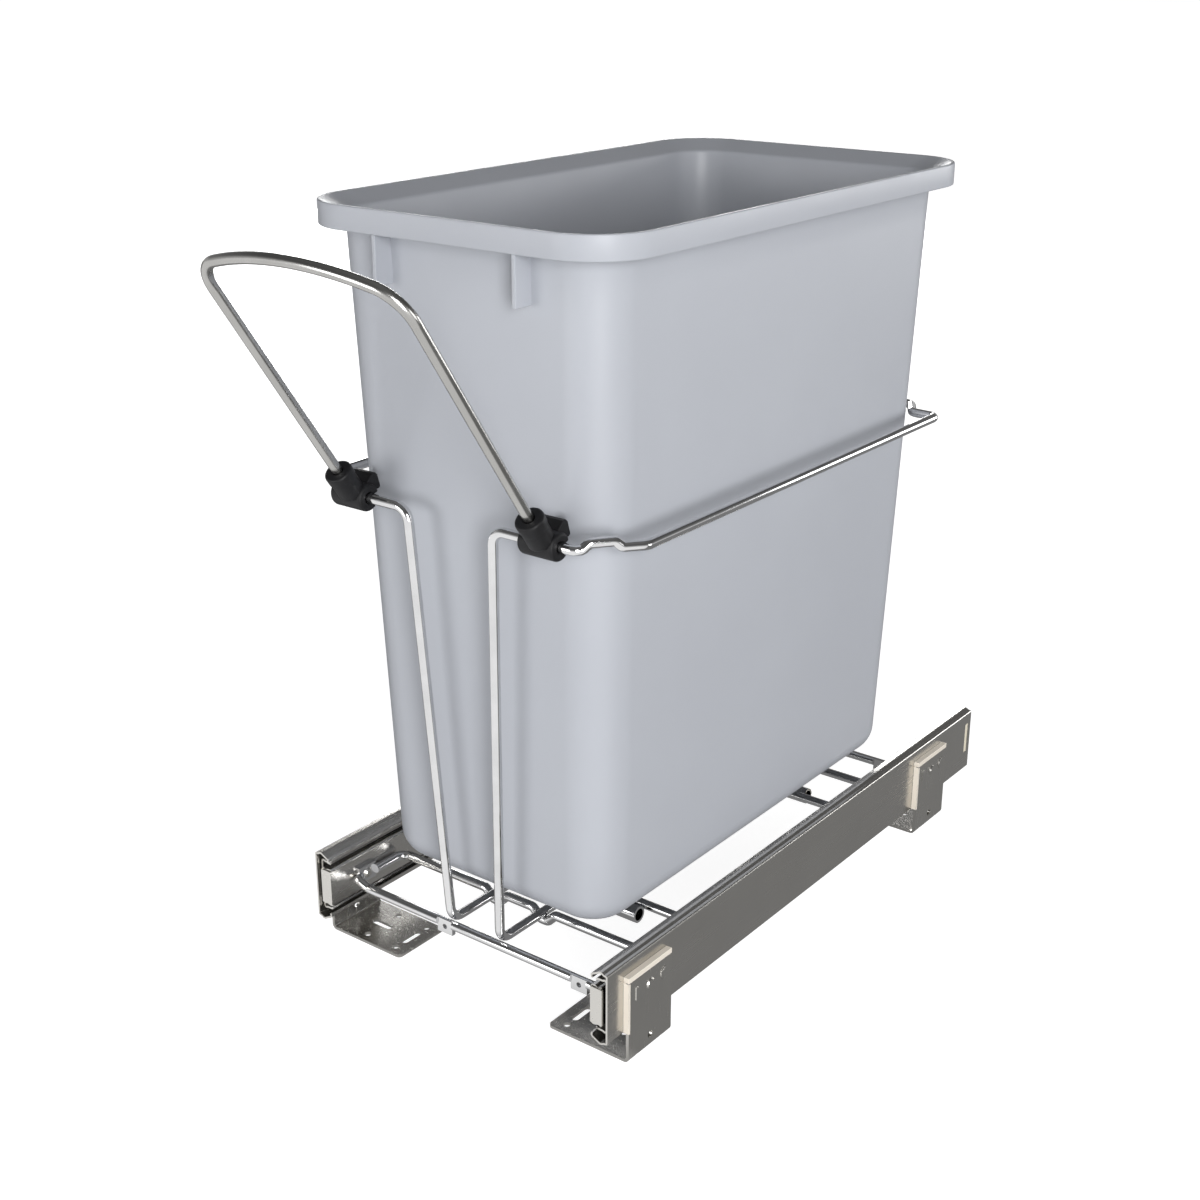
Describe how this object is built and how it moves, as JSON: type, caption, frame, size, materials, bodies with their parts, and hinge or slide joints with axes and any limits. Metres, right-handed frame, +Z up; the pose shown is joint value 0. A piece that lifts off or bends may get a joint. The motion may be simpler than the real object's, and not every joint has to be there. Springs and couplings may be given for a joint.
{
  "type": "pull out bin frame",
  "caption": "Wire carriage on ball-bearing slides with floor brackets, a lift-out bin and a hinged wire handle, for pulling out of a cabinet.",
  "frame": {"origin": "on the cabinet floor, at the middle of the rectangle of the four floor brackets' slots", "axes": "+Z up, +Y to the back of the cabinet, +X to the right seen from the front; the carriage pulls out towards -Y"},
  "size_m": [0.2436, 0.5545, 0.4734],
  "materials": {
    "grey_plastic": "smooth moulded silver-grey plastic",
    "black_plastic": "black moulded plastic",
    "dark_steel": "blackened steel screw",
    "satin_nickel": "satin nickel plate",
    "ball_steel": "polished bearing steel",
    "cream_plastic": "cream moulded plastic",
    "chrome_wire": "bright chrome plate",
    "bracket_steel": "satin nickel plated pressed steel",
    "slide_steel": "satin nickel plated rolled steel"
  },
  "bodies": {
    "base": {"left_outer_member": "slide_steel", "right_outer_member": "slide_steel", "front_left_bracket": "bracket_steel", "front_right_bracket": "bracket_steel", "rear_left_bracket": "bracket_steel", "rear_right_bracket": "bracket_steel", "bracket_rivets": "bracket_steel", "rear_bumpers": "cream_plastic"},
    "carriage": {"left_inner_member": "slide_steel", "right_inner_member": "slide_steel", "left_frame_wire": "chrome_wire", "right_frame_wire": "chrome_wire", "front_loop": "chrome_wire", "centre_loop": "chrome_wire", "rear_loop": "chrome_wire", "front_tubes": "chrome_wire", "rear_tubes": "chrome_wire", "frame_rivets": "slide_steel"},
    "handle": {"handle_wire": "satin_nickel", "left_clamp": "black_plastic", "right_clamp": "black_plastic", "clamp_screws": "dark_steel"},
    "bin_body": {"bin": "grey_plastic"},
    "left_middle_body": {"left_middle_member": "slide_steel"},
    "left_outer_balls_body": {"left_outer_cage": "slide_steel", "left_outer_balls": "ball_steel"},
    "left_inner_balls_body": {"left_inner_cage": "slide_steel", "left_inner_balls": "ball_steel"},
    "right_middle_body": {"right_middle_member": "slide_steel"},
    "right_outer_balls_body": {"right_outer_cage": "slide_steel", "right_outer_balls": "ball_steel"},
    "right_inner_balls_body": {"right_inner_cage": "slide_steel", "right_inner_balls": "ball_steel"}
  },
  "joints": [
    {"name": "carriage_slide", "type": "slide", "parent": "base", "child": "carriage", "axis": [0, -1, 0], "range_m": [0, 0.44]},
    {"name": "left_middle_slide", "type": "slide", "parent": "base", "child": "left_middle_body", "axis": [0, -1, 0], "range_m": [0, 0.22]},
    {"name": "left_outer_balls_slide", "type": "slide", "parent": "base", "child": "left_outer_balls_body", "axis": [0, -1, 0], "range_m": [0, 0.11]},
    {"name": "left_inner_balls_slide", "type": "slide", "parent": "base", "child": "left_inner_balls_body", "axis": [0, -1, 0], "range_m": [0, 0.33]},
    {"name": "right_middle_slide", "type": "slide", "parent": "base", "child": "right_middle_body", "axis": [0, -1, 0], "range_m": [0, 0.22]},
    {"name": "right_outer_balls_slide", "type": "slide", "parent": "base", "child": "right_outer_balls_body", "axis": [0, -1, 0], "range_m": [0, 0.11]},
    {"name": "right_inner_balls_slide", "type": "slide", "parent": "base", "child": "right_inner_balls_body", "axis": [0, -1, 0], "range_m": [0, 0.33]},
    {"name": "handle_hinge", "type": "hinge", "parent": "carriage", "child": "handle", "pos_m": [0, -0.20025, 0.309], "axis": [1, 0, 0], "range_deg": [-30, 110]},
    {"name": "bin_lift", "type": "slide", "parent": "carriage", "child": "bin_body", "axis": [0, 0, 1], "range_m": [0, 0.45]}
  ],
  "couplings": [
    {"joint": "left_middle_slide", "follows": "carriage_slide", "ratio": 0.5},
    {"joint": "left_outer_balls_slide", "follows": "carriage_slide", "ratio": 0.25},
    {"joint": "left_inner_balls_slide", "follows": "carriage_slide", "ratio": 0.75},
    {"joint": "right_middle_slide", "follows": "carriage_slide", "ratio": 0.5},
    {"joint": "right_outer_balls_slide", "follows": "carriage_slide", "ratio": 0.25},
    {"joint": "right_inner_balls_slide", "follows": "carriage_slide", "ratio": 0.75}
  ]
}
